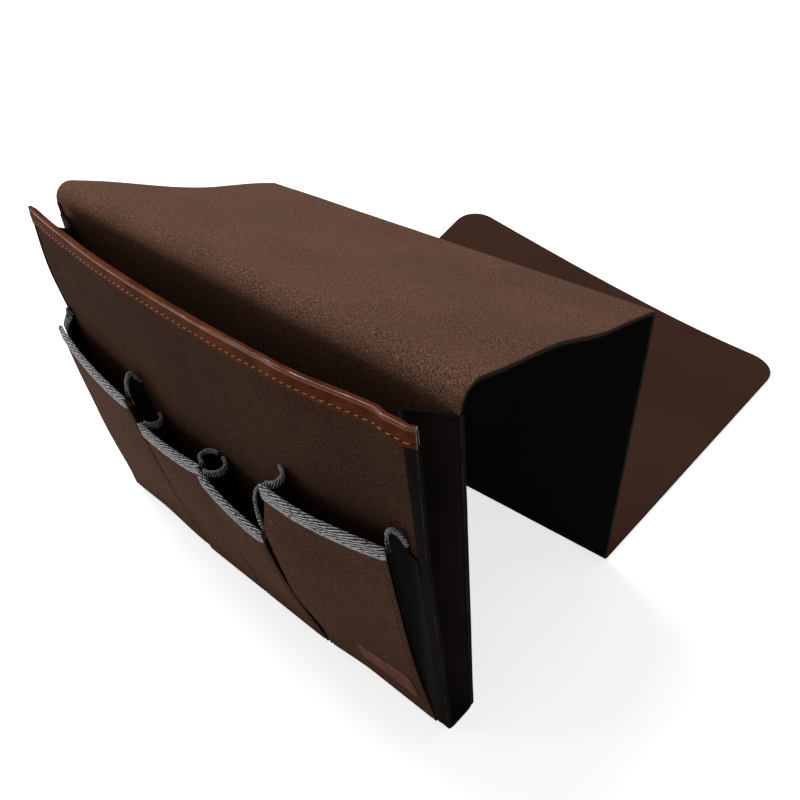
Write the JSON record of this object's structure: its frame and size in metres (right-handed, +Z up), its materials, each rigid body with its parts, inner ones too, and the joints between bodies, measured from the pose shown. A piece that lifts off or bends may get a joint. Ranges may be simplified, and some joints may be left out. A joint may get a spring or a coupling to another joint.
{
  "type": "sofa armrest organizer",
  "caption": "Folded suede cover that hangs over a sofa armrest, with a magazine pocket and small bellows pockets on one side and a flap that tucks under the seat cushion.",
  "frame": {"origin": "middle of the footprint at floor level", "axes": "+X across the armrest from the pocket side to the flap, +Y along the armrest, +Z up"},
  "size_m": [0.505, 0.3256, 0.256],
  "materials": {
    "suede": "brushed suede nap",
    "flap_suede": "smooth suede, little nap",
    "pocket_suede": "suede nap",
    "trim_leather": "glossy finished leather",
    "patch_leather": "matt embossed leather",
    "binding_tape": "herringbone twill tape",
    "lining": "plain woven lining",
    "gusset_cloth": "plain woven cloth",
    "stiffener": "plain flexible sheet"
  },
  "bodies": {
    "cover_top": {"top_suede": "suede", "top_board": "stiffener", "top_lining": "lining", "front_fold_suede": "suede", "front_fold_lining": "lining", "rear_fold_suede": "suede", "rear_fold_lining": "lining"},
    "pocket_wall": {"wall_suede": "suede", "wall_board": "stiffener", "wall_lining": "lining", "pocket_base": "pocket_suede", "main_gusset_near": "gusset_cloth", "main_gusset_far": "gusset_cloth"},
    "rear_wall": {"rear_suede": "suede", "rear_board": "stiffener", "rear_lining": "lining", "flap_fold_suede": "flap_suede", "flap_fold_lining": "lining"},
    "flap": {"flap_suede": "flap_suede", "flap_board": "stiffener", "flap_lining": "lining"},
    "outer_panel": {"panel_suede": "pocket_suede", "panel_board": "stiffener", "panel_lining": "lining", "trim": "trim_leather", "pocket_1_gusset_far": "gusset_cloth", "pocket_1_gusset_near": "gusset_cloth", "pocket_1_tape_far": "binding_tape", "pocket_1_tape_near": "binding_tape", "pocket_2_gusset_far": "gusset_cloth", "pocket_2_gusset_near": "gusset_cloth", "pocket_2_tape_far": "binding_tape", "pocket_2_tape_near": "binding_tape", "pocket_3_gusset_far": "gusset_cloth", "pocket_3_gusset_near": "gusset_cloth", "pocket_3_tape_far": "binding_tape", "pocket_3_tape_near": "binding_tape", "pocket_4_gusset_far": "gusset_cloth", "pocket_4_gusset_near": "gusset_cloth", "pocket_4_tape_far": "binding_tape", "pocket_4_tape_near": "binding_tape"},
    "pocket_1": {"pocket_1_front": "pocket_suede", "pocket_1_tape": "binding_tape"},
    "pocket_2": {"pocket_2_front": "pocket_suede", "pocket_2_tape": "binding_tape"},
    "pocket_3": {"pocket_3_front": "pocket_suede", "pocket_3_tape": "binding_tape"},
    "pocket_4": {"pocket_4_front": "pocket_suede", "pocket_4_tape": "binding_tape", "patch": "patch_leather"}
  },
  "joints": [
    {"name": "front_fold", "type": "hinge", "parent": "cover_top", "child": "pocket_wall", "pos_m": [-0.19104, -0.1625, 0.23666], "axis": [-0.0138, 0.9995, 0.0287], "range_deg": [-15, 90], "deforming": ["front_fold_suede", "front_fold_lining"]},
    {"name": "rear_fold", "type": "hinge", "parent": "cover_top", "child": "rear_wall", "pos_m": [-0.02907, -0.1625, 0.19686], "axis": [-0.0172, 0.9997, -0.0145], "range_deg": [-75, 12], "deforming": ["rear_fold_suede", "rear_fold_lining"]},
    {"name": "flap_fold", "type": "hinge", "parent": "rear_wall", "child": "flap", "pos_m": [-0.03703, -0.1625, 0.005], "axis": [-0.0343, 0.9994, 0.0021], "range_deg": [-65, 85], "deforming": ["flap_fold_suede", "flap_fold_lining"]},
    {"name": "pocket_mouth", "type": "hinge", "parent": "pocket_wall", "child": "outer_panel", "pos_m": [-0.21297, -0.1625, 0.0045], "axis": [0.0111, 0.9999, 0], "range_deg": [-6.5, 3], "deforming": ["main_gusset_near", "main_gusset_far"]},
    {"name": "pocket_1_mouth", "type": "hinge", "parent": "outer_panel", "child": "pocket_1", "pos_m": [-0.21523, 0.0627, 0.002], "axis": [0.0109, 0.9999, 0], "range_deg": [-3, 2.5], "deforming": ["pocket_1_gusset_far", "pocket_1_gusset_near", "pocket_1_tape_far", "pocket_1_tape_near"]},
    {"name": "pocket_2_mouth", "type": "hinge", "parent": "outer_panel", "child": "pocket_2", "pos_m": [-0.21592, -0.0003, 0.002], "axis": [0.0109, 0.9999, 0], "range_deg": [-3.2, 4], "deforming": ["pocket_2_gusset_far", "pocket_2_gusset_near", "pocket_2_tape_far", "pocket_2_tape_near"]},
    {"name": "pocket_3_mouth", "type": "hinge", "parent": "outer_panel", "child": "pocket_3", "pos_m": [-0.21661, -0.0633, 0.002], "axis": [0.0109, 0.9999, 0], "range_deg": [-3.5, 4.8], "deforming": ["pocket_3_gusset_far", "pocket_3_gusset_near", "pocket_3_tape_far", "pocket_3_tape_near"]},
    {"name": "pocket_4_mouth", "type": "hinge", "parent": "outer_panel", "child": "pocket_4", "pos_m": [-0.2175, -0.145, 0.002], "axis": [0.0109, 0.9999, 0], "range_deg": [-3, 3], "deforming": ["pocket_4_gusset_far", "pocket_4_gusset_near", "pocket_4_tape_far", "pocket_4_tape_near"]}
  ]
}
